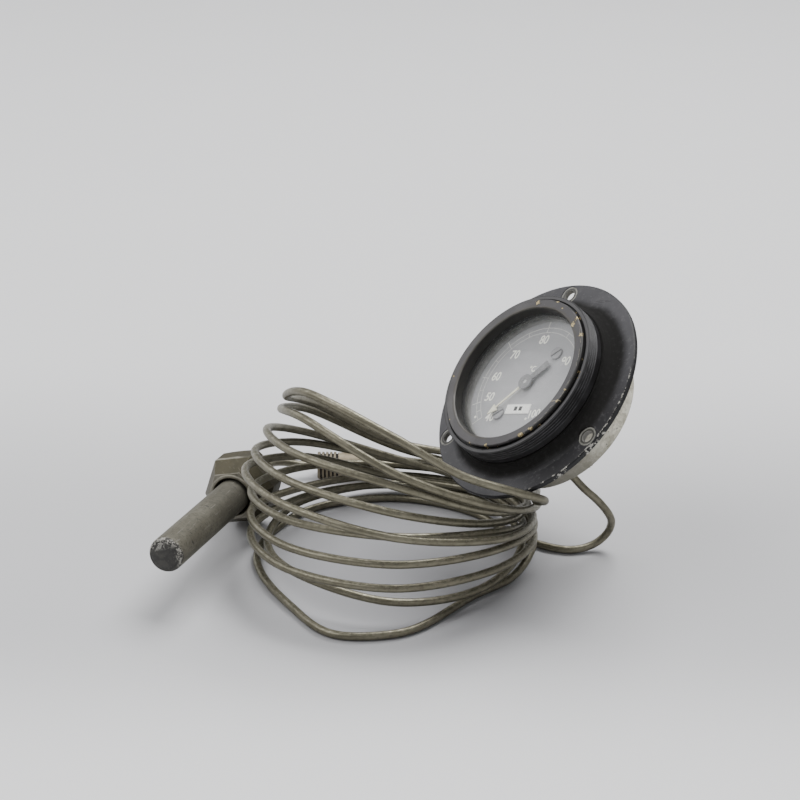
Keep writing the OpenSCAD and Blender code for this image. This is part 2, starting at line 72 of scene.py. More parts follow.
# ---------------------------------------------------------------- the capillary
T1 = [(45, 45, 1.6), (90, 45, 1.6), (135, 49, 1.6), (180, 52, 1.6), (225, 53.5, 1.6), (250, 61.5, 1.6),
      (270, 57.5, 1.6), (315, 42.5, 1.6), (338, 47.5, 2.1)]
TURNS = [
    [(52.3, 5.2), (53, 4.6), (53.5, 3.6), (52, 4.5), (48, 8), (50, 13.5), (49, 9.5), (45.8, 5.8)],
    [(48.2, 7), (49, 5.6), (49.5, 5), (46.5, 9.5), (53.7, 13), (55.5, 18), (54, 18), (52, 16)],
    [(52.5, 10.2), (52.5, 9), (51.5, 8.6), (45.5, 14.2), (53.6, 20.5), (54, 26), (52, 26.5), (50.5, 23)],
    [(52.5, 15), (53, 13.4), (52.5, 12.6), (50, 20.5), (53.4, 29.2), (52.5, 36), (50, 36.5), (50.5, 30.5)],
    [(48, 15.8), (48.6, 9.8), (47.5, 9.8), (48.5, 25.5), (55, 38.5), (57, 45), (56, 39.5), (54.5, 29.5)],
    [(51.7, 19.3), (51.5, 17.4), (49.2, 16.8), (49, 31.5), (51.5, 45.5), (52, 51.5), (52, 47), (46.5, 32.5)],
    [(47.5, 20.3), (47.4, 14.2), (45.8, 19), (49, 36), (47, 54), (48.5, 61), (49, 56), (48.5, 38)],
    [(49.3, 24.2), (47.2, 19), (49.6, 22.3), (46, 46.5), (41.5, 62.5), (44, 73), (48, 60.5), (52, 41)],
    [(53.3, 24.2), (51, 22.5), (46.2, 26), (42.5, 50), (39.5, 67.5), (41.5, 82), (46.5, 73.5)],
]
T11 = [(298, 54, 58.5), (312, 60, 52), (324, 64.5, 45), (342, 54, 33.5), (360, 53, 28.6), (382, 56.2, 23.8),
       (405, 58, 17), (428, 62.5, 9.5)]
LEAD_IN = [(70.5, -1.5, 30.3), (76, -1.5, 25), (80.2, 0, 19), (82, 3.5, 13), (81, 5.5, 7.8), (77.8, 5.5, 4),
           (73, 4, 2.2), (67, 3, 1.6), (60.5, 4.5, 1.6), (53, 9, 1.6), (45.5, 15.5, 1.6)]
LEAD_OUT = [(12, 65.5, 6.3), (-4, 66, 5.6), (-8, 66, 5.6), (-31.6, 66, 5.6), (-35, 66, 5.6), (-44.3, 63, 8.3),
            (-50, 55, 11.9)]


def cyl(a, r, z):
    return K(r * math.cos(math.radians(a)), r * math.sin(math.radians(a)), z)


knots = [G(0, -18, -29.7), G(0, -18, -33.7)] + [K(*p) for p in LEAD_IN] + [cyl(*q) for q in T1]
for t in TURNS:
    knots += [cyl(45 * i, r, z) for i, (r, z) in enumerate(t)]
knots += [cyl(*q) for q in T11] + [K(*p) for p in LEAD_OUT] + [B(89), B(85)]


def hermite_path(pts, step):
    n = len(pts)
    gap = [(pts[i + 1] - pts[i]).length for i in range(n - 1)]
    ch = [(pts[i + 1] - pts[i]) / gap[i] for i in range(n - 1)]
    m = [ch[0]] + [(ch[i - 1] * gap[i] + ch[i] * gap[i - 1]) / (gap[i] + gap[i - 1]) for i in range(1, n - 1)] + [ch[-1]]
    out = []
    for i in range(n - 1):
        k = max(1, round(gap[i] / step))
        for j in range(k):
            s = j / k
            out.append((2 * s ** 3 - 3 * s ** 2 + 1) * pts[i] + (s ** 3 - 2 * s ** 2 + s) * gap[i] * m[i]
                       + (3 * s ** 2 - 2 * s ** 3) * pts[i + 1] + (s ** 3 - s ** 2) * gap[i] * m[i + 1])
    out.append(pts[-1].copy())
    return out


path = hermite_path(knots, 0.0022)


def new_obj(name, verts, faces, smooth=True):
    me = bpy.data.meshes.new(name)
    me.from_pydata([tuple(v) for v in verts], [], faces)
    me.update()
    if smooth:
        me.polygons.foreach_set("use_smooth", [True] * len(me.polygons))
    ob = bpy.data.objects.new(name, me)
    bpy.context.collection.objects.link(ob)
    return ob


def sweep(name, pts, r, sides, ref, wobble=0.0):
    """A round tube along pts, with a length-and-turn UV, its ends closed flat."""
    n = len(pts)
    tan = []
    for i in range(n):
        a = (pts[i] - pts[i - 1]).normalized() if i else Vector()
        b = (pts[i + 1] - pts[i]).normalized() if i < n - 1 else Vector()
        tan.append((a + b).normalized())
    verts, faces, uvs = [], [], []
    run = 0.0
    runs = []
    for i in range(n):
        if i:
            run += (pts[i] - pts[i - 1]).length
        runs.append(run)
        u = ref.cross(tan[i]).normalized()
        v = tan[i].cross(u)
        for k in range(sides):
            a = 2 * math.pi * k / sides
            d = u * math.cos(a) + v * math.sin(a)
            w = 1 + wobble * noise.noise(Vector((run * 160, math.cos(a) * 0.8, math.sin(a) * 0.8)))
            verts.append(pts[i] + d * r * w)
    for i in range(n - 1):
        for k in range(sides):
            k2 = (k + 1) % sides
            faces.append((i * sides + k, i * sides + k2, (i + 1) * sides + k2, (i + 1) * sides + k))
            uvs.append([(runs[i], k / sides), (runs[i], (k + 1) / sides), (runs[i + 1], (k + 1) / sides), (runs[i + 1], k / sides)])
    faces.append(tuple(range(sides - 1, -1, -1)))
    uvs.append([(0, 0)] * sides)
    faces.append(tuple((n - 1) * sides + k for k in range(sides)))
    uvs.append([(run, 0)] * sides)
    ob = new_obj(name, verts, faces)
    lay = ob.data.uv_layers.new(name="run")
    i = 0
    for f in uvs:
        for q in f:
            lay.data[i].uv = q
            i += 1
    return ob


REF = (Matrix.Rotation(math.radians(63.5), 3, "Z") @ Vector((-0.5, 0.5, 0.7))).normalized()
tube = sweep("capillary_tube", path, 0.0015, 14, REF, 0.012)
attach(tube, "gauge")
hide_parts("capillary")


# ---------------------------------------------------------------- node helpers
class Mat:
    def __init__(self, name):
        self.m = bpy.data.materials.new(name)
        self.m.use_nodes = True
        self.t = self.m.node_tree
        self.t.nodes.clear()
        self.out = self.t.nodes.new("ShaderNodeOutputMaterial")
        self.b = self.t.nodes.new("ShaderNodeBsdfPrincipled")
        self.t.links.new(self.b.outputs[0], self.out.inputs[0])
        self.obj = self.t.nodes.new("ShaderNodeTexCoord").outputs["Object"]

    def put(self, sock, v):
        if isinstance(v, bpy.types.NodeSocket):
            self.t.links.new(v, sock)
        else:
            if hasattr(sock.default_value, "__len__") and not hasattr(v, "__len__"):
                v = (v, v, v, 1)[:len(sock.default_value)]
            if hasattr(v, "__len__") and len(v) == 3 and len(sock.default_value) == 4:
                v = (*v, 1)
            sock.default_value = v

    def set(self, **k):
        for n, v in k.items():
            self.put(self.b.inputs[n.replace("_", " ")], v)
        return self.m

    def node(self, kind, **k):
        n = self.t.nodes.new(kind)
        for a, v in k.items():
            setattr(n, a, v)
        return n

    def math(self, op, a, b=0.0, c=0.0, clamp=False):
        n = self.node("ShaderNodeMath", operation=op, use_clamp=clamp)
        self.put(n.inputs[0], a)
        self.put(n.inputs[1], b)
        self.put(n.inputs[2], c)
        return n.outputs[0]

    def vmath(self, op, a, b=(0, 0, 0)):
        n = self.node("ShaderNodeVectorMath", operation=op)
        self.put(n.inputs[0], a)
        self.put(n.inputs[1], b)
        return n.outputs["Value"] if op in ("LENGTH", "DISTANCE", "DOT_PRODUCT") else n.outputs[0]

    def noise(self, scale, detail=4.0, rough=0.55, vec=None, dist=0.0, lac=2.0):
        n = self.node("ShaderNodeTexNoise")
        self.put(n.inputs["Vector"], self.obj if vec is None else vec)
        self.put(n.inputs["Scale"], scale)
        self.put(n.inputs["Detail"], detail)
        self.put(n.inputs["Roughness"], rough)
        self.put(n.inputs["Distortion"], dist)
        self.put(n.inputs["Lacunarity"], lac)
        return n.outputs["Fac"]

    def voro(self, scale, vec=None, feature="F1", rand=1.0):
        n = self.node("ShaderNodeTexVoronoi", feature=feature)
        self.put(n.inputs["Vector"], self.obj if vec is None else vec)
        self.put(n.inputs["Scale"], scale)
        self.put(n.inputs["Randomness"], rand)
        return n.outputs["Distance"]

    def step(self, v, lo, hi, smooth=True):
        """0 below lo, 1 above hi."""
        n = self.node("ShaderNodeMapRange", interpolation_type="SMOOTHSTEP" if smooth else "LINEAR")
        self.put(n.inputs[0], v)
        self.put(n.inputs[1], lo)
        self.put(n.inputs[2], hi)
        return n.outputs[0]

    def span(self, v, lo, hi, a, b):
        n = self.node("ShaderNodeMapRange")
        for i, x in enumerate((v, lo, hi, a, b)):
            self.put(n.inputs[i], x)
        return n.outputs[0]

    def mix(self, f, a, b):
        n = self.node("ShaderNodeMix", data_type="RGBA")
        self.put(n.inputs[0], f)
        self.put(n.inputs[6], a)
        self.put(n.inputs[7], b)
        return n.outputs[2]

    def mixf(self, f, a, b):
        n = self.node("ShaderNodeMix", data_type="FLOAT")
        self.put(n.inputs[0], f)
        self.put(n.inputs[2], a)
        self.put(n.inputs[3], b)
        return n.outputs[0]

    def bump(self, h, strength, dist, normal=None):
        n = self.node("ShaderNodeBump")
        self.put(n.inputs["Height"], h)
        self.put(n.inputs["Strength"], strength)
        self.put(n.inputs["Distance"], dist)
        if normal is not None:
            self.put(n.inputs["Normal"], normal)
        return n.outputs[0]

    def mapping(self, vec, rot=(0, 0, 0), scale=(1, 1, 1), loc=(0, 0, 0)):
        n = self.node("ShaderNodeMapping", vector_type="POINT")
        self.put(n.inputs["Vector"], vec)
        self.put(n.inputs["Rotation"], rot)
        self.put(n.inputs["Scale"], scale)
        self.put(n.inputs["Location"], loc)
        return n.outputs[0]

    def gauge(self):
        """Gauge coordinates in mm: x, y across the dial, z out of it, and the radius."""
        a = self.mapping(self.obj, rot=(-TILT, 0, 0))
        v = self.mapping(a, rot=(0, 0, -ROLL), scale=(1, 1, 1))
        v = self.vmath("MULTIPLY", v, (1000, 1000, 1000))
        s = self.node("ShaderNodeSeparateXYZ")
        self.put(s.inputs[0], v)
        x, y, z = s.outputs
        r = self.math("SQRT", self.math("ADD", self.math("MULTIPLY", x, x), self.math("MULTIPLY", y, y)))
        return v, x, y, z, r

    def bulb(self):
        """Bulb coordinates in mm: the length from the tip and the radius."""
        v = self.vmath("SUBTRACT", self.obj, tuple(BM.translation))
        ax = (BM.to_3x3() @ Vector((0, 0, 1))).normalized()
        s = self.math("MULTIPLY", self.vmath("DOT_PRODUCT", v, tuple(ax)), 1000)
        ln = self.math("MULTIPLY", self.vmath("LENGTH", v), 1000)
        r = self.math("SQRT", self.math("MAXIMUM", self.math("SUBTRACT", self.math("MULTIPLY", ln, ln), self.math("MULTIPLY", s, s)), 0.0))
        return v, s, r

    def rounded(self, radius, samples=5):
        bv = self.node("ShaderNodeBevel", samples=samples)
        self.put(bv.inputs["Radius"], radius)
        return bv.outputs[0]

    def edge(self, radius, lo=0.02, hi=0.2, samples=4):
        """Where a hard edge is near: the bevelled normal leaves the true one."""
        bv = self.node("ShaderNodeBevel", samples=samples)
        self.put(bv.inputs["Radius"], radius)
        g = self.node("ShaderNodeNewGeometry")
        d = self.vmath("DOT_PRODUCT", bv.outputs[0], g.outputs["Normal"])
        return self.step(self.math("SUBTRACT", 1.0, d), lo, hi)


def AND(m, a, b):
    return m.math("MULTIPLY", a, b)


def band(m, v, lo, hi, soft):
    return m.math("MULTIPLY", m.step(v, lo - soft, lo + soft), m.math("SUBTRACT", 1.0, m.step(v, hi - soft, hi + soft)))


# ---------------------------------------------------------------- materials
def mat_flange():
    m = Mat("black_paint_worn")
    v, x, y, z, r = m.gauge()
    big = m.noise(38, 5, 0.6)
    fine = m.noise(520, 5, 0.6)
    speck = m.noise(1500, 3, 0.6)
    ang = m.math("ARCTAN2", x, y)
    col = m.mix(m.step(big, 0.35, 0.7), (0.054, 0.053, 0.058), (0.07, 0.068, 0.074))
    # painted shade: darker at the lower right and in the hollow by the bezel, where the bezel shades the flange
    low_side_shade = m.math("MULTIPLY", m.step(ang, 1.25, 1.9), m.math("SUBTRACT", 1.0, m.step(ang, 2.5, 3.05)))
    col = m.mix(m.math("MULTIPLY", low_side_shade, 0.9), col, (0.015, 0.0145, 0.016))
    right = m.math("MULTIPLY", m.step(ang, 0.25, 0.8), m.math("SUBTRACT", 1.0, m.step(ang, 1.9, 2.6)))
    out = m.math("SUBTRACT", m.math("ADD", r, m.span(big, 0.3, 0.7, -1.0, 1.0)), m.math("MULTIPLY", right, 3.0))
    hollow = m.math("SUBTRACT", 1.0, m.step(out, 34.9, 38.9))
    col = m.mix(m.math("MULTIPLY", hollow, 0.98), col, (0.006, 0.0056, 0.005))
    bare_ok = m.mixf(hollow, 1.0, 0.12)
    col = m.mix(m.math("MULTIPLY", m.math("MULTIPLY", m.step(fine, 0.52, 0.7), 0.42), bare_ok), col, (0.115, 0.112, 0.114))
    scuff = m.noise(1.0, 6, 0.62, vec=m.mapping(v, rot=(0, 0, 0.5), scale=(0.06, 0.9, 1)))
    col = m.mix(m.math("MULTIPLY", m.math("MULTIPLY", m.step(scuff, 0.6, 0.72), 0.22), bare_ok), col, (0.15, 0.147, 0.14))
    col = m.mix(m.math("MULTIPLY", m.math("MULTIPLY", m.step(speck, 0.66, 0.73), 0.45), m.mixf(hollow, 1.0, 0.35)), col, (0.2, 0.195, 0.19))
    # a scuffed place of fine parallel scratches at the upper right
    sd = m.math("MULTIPLY", m.math("SUBTRACT", 1.0, m.step(m.vmath("DISTANCE", m.vmath("MULTIPLY", v, (0.17, 1, 0)), (2.85, 36.0, 0)), 0.5, 1.3)),
                m.step(m.noise(1.0, 4, 0.7, vec=m.mapping(v, rot=(0, 0, 0.12), scale=(0.16, 3.4, 1))), 0.5, 0.57))
    col = m.mix(m.math("MULTIPLY", sd, 0.85), col, (0.012, 0.0118, 0.012))
    # a rubbed ring round each of the three screw holes
    near = None
    for a in (0, 120, 240):
        p = (-40 * math.sin(math.radians(a)), 40 * math.cos(math.radians(a)), 0)
        d = m.vmath("DISTANCE", m.vmath("MULTIPLY", v, (1, 1, 0)), p)
        near = d if near is None else m.math("MINIMUM", near, d)
    wob = m.math("ADD", near, m.span(m.noise(420, 4, 0.6), 0.3, 0.7, -0.22, 0.22))
    seat = m.math("SUBTRACT", 1.0, m.step(wob, 3.45, 3.8))
    lip = m.math("MULTIPLY", m.math("MULTIPLY", m.step(wob, 2.9, 3.25), seat), m.span(m.noise(300, 4, 0.6), 0.35, 0.6, 0.3, 0.9))
    col = m.mix(m.math("MULTIPLY", seat, 0.75), col, (0.06, 0.058, 0.05))
    col = m.mix(lip, col, (0.3, 0.295, 0.265))
    inside = m.math("SUBTRACT", 1.0, m.step(near, 2.21, 2.3))
    col = m.mix(inside, col, (0.2, 0.195, 0.18))
    # the edge is black, with flecks of bare metal along it at the lower right
    rim = m.step(r, 44.0, 44.25)
    col = m.mix(m.math("MULTIPLY", rim, 0.9), col, (0.01, 0.01, 0.011))
    where = m.math("MULTIPLY", m.step(ang, 1.15, 1.5), m.math("SUBTRACT", 1.0, m.step(ang, 2.35, 2.75)))
    wr = m.math("ADD", r, m.span(m.noise(620, 4, 0.65), 0.3, 0.7, -0.22, 0.22))
    line = m.math("MULTIPLY", m.math("MULTIPLY", band(m, wr, 43.85, 44.3, 0.07), m.step(z, -0.35, -0.1)), m.step(m.noise(430, 5, 0.7), 0.5, 0.56))
    line = m.math("MULTIPLY", line, m.math("MULTIPLY", m.step(ang, 1.3, 1.6), m.math("SUBTRACT", 1.0, m.step(ang, 2.7, 3.0))))
    side = m.math("MULTIPLY", m.math("MULTIPLY", m.step(r, 44.3, 44.45), where), m.math("MULTIPLY", m.step(m.noise(120, 4, 0.6), 0.52, 0.58), m.step(m.noise(700, 5, 0.7), 0.49, 0.54)))
    few = m.math("MULTIPLY", m.step(r, 44.1, 44.3), m.step(m.noise(300, 4, 0.62), 0.68, 0.71))
    fleck = m.math("MAXIMUM", m.math("MAXIMUM", line, side), few)
    col = m.mix(fleck, col, m.mix(m.step(m.noise(2000, 3), 0.4, 0.6), (0.62, 0.6, 0.55), (0.3, 0.29, 0.26)))
    bare = m.math("MAXIMUM", m.math("MULTIPLY", lip, 0.7), fleck)
    rough = m.span(m.noise(90, 5, 0.6), 0.3, 0.7, 0.4, 0.56)
    rough = m.mixf(hollow, rough, 0.95)
    rough = m.mixf(bare, rough, 0.4)
    h = m.math("ADD", m.math("MULTIPLY", fine, 0.4), m.math("MULTIPLY", m.noise(60, 4), 0.5))
    h = m.math("SUBTRACT", h, m.math("MULTIPLY", bare, 0.6))
    return m.set(Base_Color=col, Metallic=m.math("MULTIPLY", bare, 0.7), Roughness=rough, Specular_IOR_Level=0.3,
                 Normal=m.bump(h, 0.35, 0.0002))


def mat_collar():
    m = Mat("black_ring_worn")
    v, x, y, z, r = m.gauge()
    n1 = m.noise(160, 5, 0.6)
    fine = m.noise(900, 4, 0.6)
    ang = m.math("ARCTAN2", x, y)
    col = m.mix(m.step(n1, 0.4, 0.7), (0.012, 0.0115, 0.012), (0.022, 0.0215, 0.023))
    tips = m.math("MULTIPLY", m.math("MULTIPLY", m.step(r, 32.8, 32.97), m.step(z, 6.0, 6.4)), m.span(m.noise(240, 4, 0.6), 0.4, 0.62, 0.15, 0.8))
    col = m.mix(tips, col, (0.075, 0.073, 0.078))
    # the front edge is rubbed, the groove in front of it stays black
    lip = m.math("MULTIPLY", band(m, r, 31.35, 32.6, 0.08), m.step(z, 10.7, 10.95))
    col = m.mix(m.math("MULTIPLY", lip, 0.75), col, (0.085, 0.083, 0.086))
    groove = m.math("MULTIPLY", m.math("SUBTRACT", 1.0, m.step(m.math("ADD", r, m.span(m.noise(260, 4, 0.62), 0.3, 0.7, -0.45, 0.45)), 31.2, 31.45)), m.step(z, 10.0, 10.3))
    col = m.mix(groove, col, (0.006, 0.006, 0.006))
    br = m.math("MULTIPLY", m.math("MULTIPLY", groove, m.step(ang, 0.2, 0.5)), m.step(m.noise(330, 4, 0.62), 0.62, 0.65))
    col = m.mix(br, col, m.mix(m.step(m.noise(1500, 3), 0.4, 0.6), (0.4, 0.31, 0.15), (0.2, 0.15, 0.08)))
    h = m.math("ADD", m.math("MULTIPLY", n1, 0.4), m.math("MULTIPLY", fine, 0.25))
    return m.set(Base_Color=col, Metallic=m.math("MULTIPLY", br, 0.7), Roughness=m.span(n1, 0.3, 0.7, 0.4, 0.54),
                 Specular_IOR_Level=0.34, Normal=m.bump(h, 0.12, 0.0002))


def mat_front_ring():
    m = Mat("front_ring_worn")
    v, x, y, z, r = m.gauge()
    big = m.noise(48, 5, 0.6)
    fine = m.noise(650, 5, 0.6)
    ang = m.math("ARCTAN2", x, y)
    col = m.mix(m.step(big, 0.35, 0.68), (0.05, 0.0465, 0.0495), (0.072, 0.0675, 0.0695))
    # paler along the upper left, deeper on the right
    left = m.math("SUBTRACT", 1.0, m.step(ang, -1.9, 0.3))
    col = m.mix(m.math("MULTIPLY", m.math("MULTIPLY", left, m.step(m.noise(60, 5, 0.6, dist=0.8), 0.4, 0.66)), 0.4), col, (0.115, 0.113, 0.109))
    right = m.math("MULTIPLY", m.step(ang, 0.5, 1.3), m.math("SUBTRACT", 1.0, m.step(ang, 2.5, 3.1)))
    col = m.mix(m.math("MULTIPLY", right, 0.35), col, (0.04, 0.039, 0.043))
    col = m.mix(m.math("MULTIPLY", m.step(fine, 0.54, 0.7), 0.3), col, (0.045, 0.043, 0.046))
    col = m.mix(m.math("MULTIPLY", m.step(m.noise(1700, 3), 0.66, 0.74), 0.35), col, (0.2, 0.195, 0.19))
    # rubbed inner edge, black bore
    inn = m.math("MULTIPLY", m.math("SUBTRACT", 1.0, m.step(r, 27.3, 27.6)), m.step(z, 11.6, 12.0))
    col = m.mix(m.math("MULTIPLY", inn, m.span(m.noise(210, 4, 0.6), 0.4, 0.62, 0.1, 0.7)), col, (0.17, 0.165, 0.155))
    dust = m.math("MULTIPLY", m.math("SUBTRACT", 1.0, m.step(m.math("ADD", r, m.span(m.noise(180, 5, 0.66), 0.3, 0.7, -0.7, 0.7)), 27.4, 28.4)), m.math("SUBTRACT", 1.0, m.step(ang, 0.9, 1.4)))
    col = m.mix(m.math("MULTIPLY", dust, 0.65), col, (0.05, 0.044, 0.032))
    bore = m.math("SUBTRACT", 1.0, m.step(r, 27.02, 27.12))
    col = m.mix(bore, col, (0.012, 0.0115, 0.009))
    nibble = m.math("MULTIPLY", m.step(m.math("ADD", r, m.span(m.noise(420, 5, 0.68), 0.3, 0.7, -0.9, 0.9)), 30.5, 30.75), m.step(m.noise(150, 4, 0.6), 0.46, 0.56))
    col = m.mix(m.math("MULTIPLY", nibble, 0.8), col, (0.015, 0.014, 0.013))
    fleck = m.math("MULTIPLY", m.step(r, 30.2, 30.6), m.step(m.noise(700, 4, 0.62), 0.67, 0.7))
    col = m.mix(m.math("MULTIPLY", fleck, 0.7), col, (0.34, 0.32, 0.27))
    # along the outer edge on the right the paint is broken, black below it
    edge_r = m.math("ADD", r, m.span(m.noise(230, 4, 0.65), 0.3, 0.7, -0.55, 0.55))
    side = m.math("MULTIPLY", m.step(ang, 0.75, 1.1), m.math("SUBTRACT", 1.0, m.step(ang, 2.25, 2.7)))
    blk = m.math("MULTIPLY", m.step(edge_r, m.mixf(side, 30.55, 29.95), m.mixf(side, 30.7, 30.05)), m.mixf(side, 0.6, 0.95))
    col = m.mix(blk, col, (0.011, 0.01, 0.009))
    glint = m.math("MULTIPLY", m.math("MULTIPLY", side, band(m, edge_r, 29.8, 30.0, 0.05)), m.step(m.noise(480, 4, 0.6), 0.47, 0.56))
    col = m.mix(m.math("MULTIPLY", glint, 0.8), col, (0.3, 0.28, 0.22))
    # chips down to the brass, each where one was seen
    xy = m.vmath("MULTIPLY", v, (1, 1, 0))
    near = None
    for px, py, pr in ((-0.9, 29.0, 1.0), (20.3, 18.6, 1.15), (21.6, 21.3, 0.9), (26.4, 14.4, 0.85), (19.1, -23.6, 0.8),
                       (15.5, -26.2, 0.95), (0.6, -30.4, 0.65), (-7.7, -29.9, 0.6), (-30.1, -1.2, 0.4), (9.2, 29.4, 0.55),
                       (27.1, -12.7, 0.5), (29.0, -8.2, 0.5), (12.6, 26.0, 0.4), (-22.9, -19.6, 0.35)):
        d = m.math("DIVIDE", m.vmath("DISTANCE", xy, (px, py, 0)), pr * 1.25)
        near = d if near is None else m.math("MINIMUM", near, d)
    near = m.math("ADD", near, m.span(m.noise(640, 6, 0.72, dist=0.6), 0.3, 0.7, -0.8, 0.8))
    brass = m.math("MULTIPLY", m.math("SUBTRACT", 1.0, m.step(near, 0.6, 0.75)), m.math("SUBTRACT", 1.0, bore))
    halo = m.math("MULTIPLY", m.math("SUBTRACT", 1.0, m.step(near, 0.8, 1.25)), 0.75)
    col = m.mix(halo, col, (0.032, 0.027, 0.02))
    col = m.mix(brass, col, m.mix(m.step(m.noise(1500, 3), 0.44, 0.58), (0.6, 0.5, 0.28), (0.26, 0.2, 0.1)))
    # a thin scratch across the lower right
    line = m.math("MULTIPLY", band(m, m.math("ADD", y, m.math("MULTIPLY", x, -0.08)), -14.85, -14.55, 0.06), m.step(x, 21.0, 23.0))
    col = m.mix(m.math("MULTIPLY", line, 0.7), col, (0.34, 0.3, 0.2))
    h = m.math("ADD", m.math("MULTIPLY", fine, 0.4), m.math("MULTIPLY", big, 0.3))
    h = m.math("SUBTRACT", h, m.math("MULTIPLY", m.math("MAXIMUM", m.math("MAXIMUM", brass, blk), nibble), 0.6))
    return m.set(Base_Color=col, Metallic=m.math("MULTIPLY", brass, 0.7), Roughness=m.span(m.noise(120, 5), 0.3, 0.7, 0.4, 0.55),
                 Normal=m.bump(h, 0.3, 0.0002))


def mat_case():
    m = Mat("case_bare_metal")
    v, x, y, z, r = m.gauge()
    blot = m.noise(210, 7, 0.72, dist=0.4)
    fine = m.noise(950, 5, 0.7)
    col = m.mix(m.step(blot, 0.34, 0.66), (0.46, 0.43, 0.335), (0.92, 0.89, 0.76))
    col = m.mix(m.math("MULTIPLY", m.step(fine, 0.5, 0.68), 0.5), col, (0.33, 0.305, 0.24))
    spot = m.math("MULTIPLY", m.step(m.noise(520, 5, 0.66), 0.62, 0.67), 0.8)
    col = m.mix(spot, col, (0.13, 0.12, 0.095))
    stain = m.math("MULTIPLY", m.step(m.noise(160, 5, 0.7), 0.56, 0.68), 0.4)
    col = m.mix(stain, col, (0.33, 0.3, 0.235))
    rear = m.math("SUBTRACT", 1.0, m.step(m.math("ADD", z, m.span(m.noise(260, 4, 0.6), 0.3, 0.7, -0.9, 0.9)), -19.3, -18.7))
    col = m.mix(m.math("MULTIPLY", rear, 0.6), col, (0.3, 0.27, 0.21))
    front = m.step(m.math("ADD", z, m.span(m.noise(420, 4, 0.6), 0.3, 0.7, -0.5, 0.5)), -2.5, -2.2)
    col = m.mix(m.math("MULTIPLY", front, 0.9), col, (0.03, 0.03, 0.03))
    # painted shade: the downward-facing underside and the lower right side of the case darker
    g = m.node("ShaderNodeSeparateXYZ")
    m.put(g.inputs[0], m.node("ShaderNodeNewGeometry").outputs["Normal"])
    under = m.math("SUBTRACT", 1.0, m.step(g.outputs[2], -0.55, 0.2))
    under = m.math("MAXIMUM", under, m.step(m.math("ARCTAN2", x, y), 1.65, 2.5))
    col = m.mix(m.math("MULTIPLY", under, 0.85), col, (0.13, 0.124, 0.1))
    h = m.math("ADD", m.math("MULTIPLY", blot, 0.4), m.math("MULTIPLY", fine, 0.5))
    return m.set(Base_Color=col, Metallic=0.35, Roughness=m.span(blot, 0.3, 0.7, 0.6, 0.42), Normal=m.bump(h, 0.35, 0.0002))


def mat_tube():
    m = Mat("tube_dull_metal")
    uv = m.node("ShaderNodeUVMap", uv_map="run").outputs[0]
    a = m.noise(1.0, 5, 0.62, vec=m.mapping(uv, scale=(120, 2.6, 1)))
    b = m.noise(1.0, 5, 0.62, vec=m.mapping(uv, scale=(420, 5, 1)))
    fine = m.noise(1800, 4, 0.65)
    col = m.mix(m.step(a, 0.35, 0.65), (0.15, 0.139, 0.098), (0.205, 0.191, 0.14))
    col = m.mix(m.math("MULTIPLY", m.step(b, 0.5, 0.7), 0.55), col, (0.07, 0.064, 0.046))
    # rubbed speckles, brightest along the upper side: partly wear, partly a painted highlight on the top
    g = m.node("ShaderNodeNewGeometry")
    sep = m.node("ShaderNodeSeparateXYZ")
    m.put(sep.inputs[0], g.outputs["Normal"])
    top = m.step(sep.outputs[2], 0.35, 0.95)
    wn = m.noise(1.0, 6, 0.66, vec=m.mapping(uv, scale=(480, 9.0, 1), loc=(3, 1, 0)))
    wear_and_top_highlight = m.math("MULTIPLY", m.step(wn, 0.42, 0.68), m.mixf(top, 0.1, 1.0))
    col = m.mix(m.math("MULTIPLY", wear_and_top_highlight, 0.5), col, (0.46, 0.435, 0.34))
    # painted shade: the underside of the tube darker
    low_side_shade = m.math("SUBTRACT", 1.0, m.step(sep.outputs[2], -0.9, 0.1))
    col = m.mix(m.math("MULTIPLY", low_side_shade, 0.45), col, (0.06, 0.055, 0.04))
    pit = m.step(m.noise(900, 3, 0.6), 0.67, 0.71)
    col = m.mix(m.math("MULTIPLY", pit, 0.5), col, (0.045, 0.04, 0.03))
    h = m.math("ADD", m.math("MULTIPLY", a, 0.6), m.math("MULTIPLY", fine, 0.2))
    h = m.math("SUBTRACT", h, m.math("MULTIPLY", pit, 0.3))
    return m.set(Base_Color=col, Metallic=0.72, Roughness=m.mixf(wear_and_top_highlight, m.span(b, 0.3, 0.7, 0.36, 0.5), 0.33), Normal=m.bump(h, 0.28, 0.00025))


def end_wear(m, v):
    """The upper left and the right-hand edge of the bulb's closed end."""
    side = Vector((look.x, look.y, 0)).normalized().cross(Vector((0, 0, 1)))
    a = m.vmath("DOT_PRODUCT", v, tuple((side * -0.35 + Vector((0, 0, 0.94))).normalized()))
    b = m.vmath("DOT_PRODUCT", v, tuple((side * 0.98 + Vector((0, 0, 0.2))).normalized()))
    return m.math("MAXIMUM", m.step(a, 0.0012, 0.0042), m.math("MULTIPLY", m.step(b, 0.0034, 0.0052), 0.85))


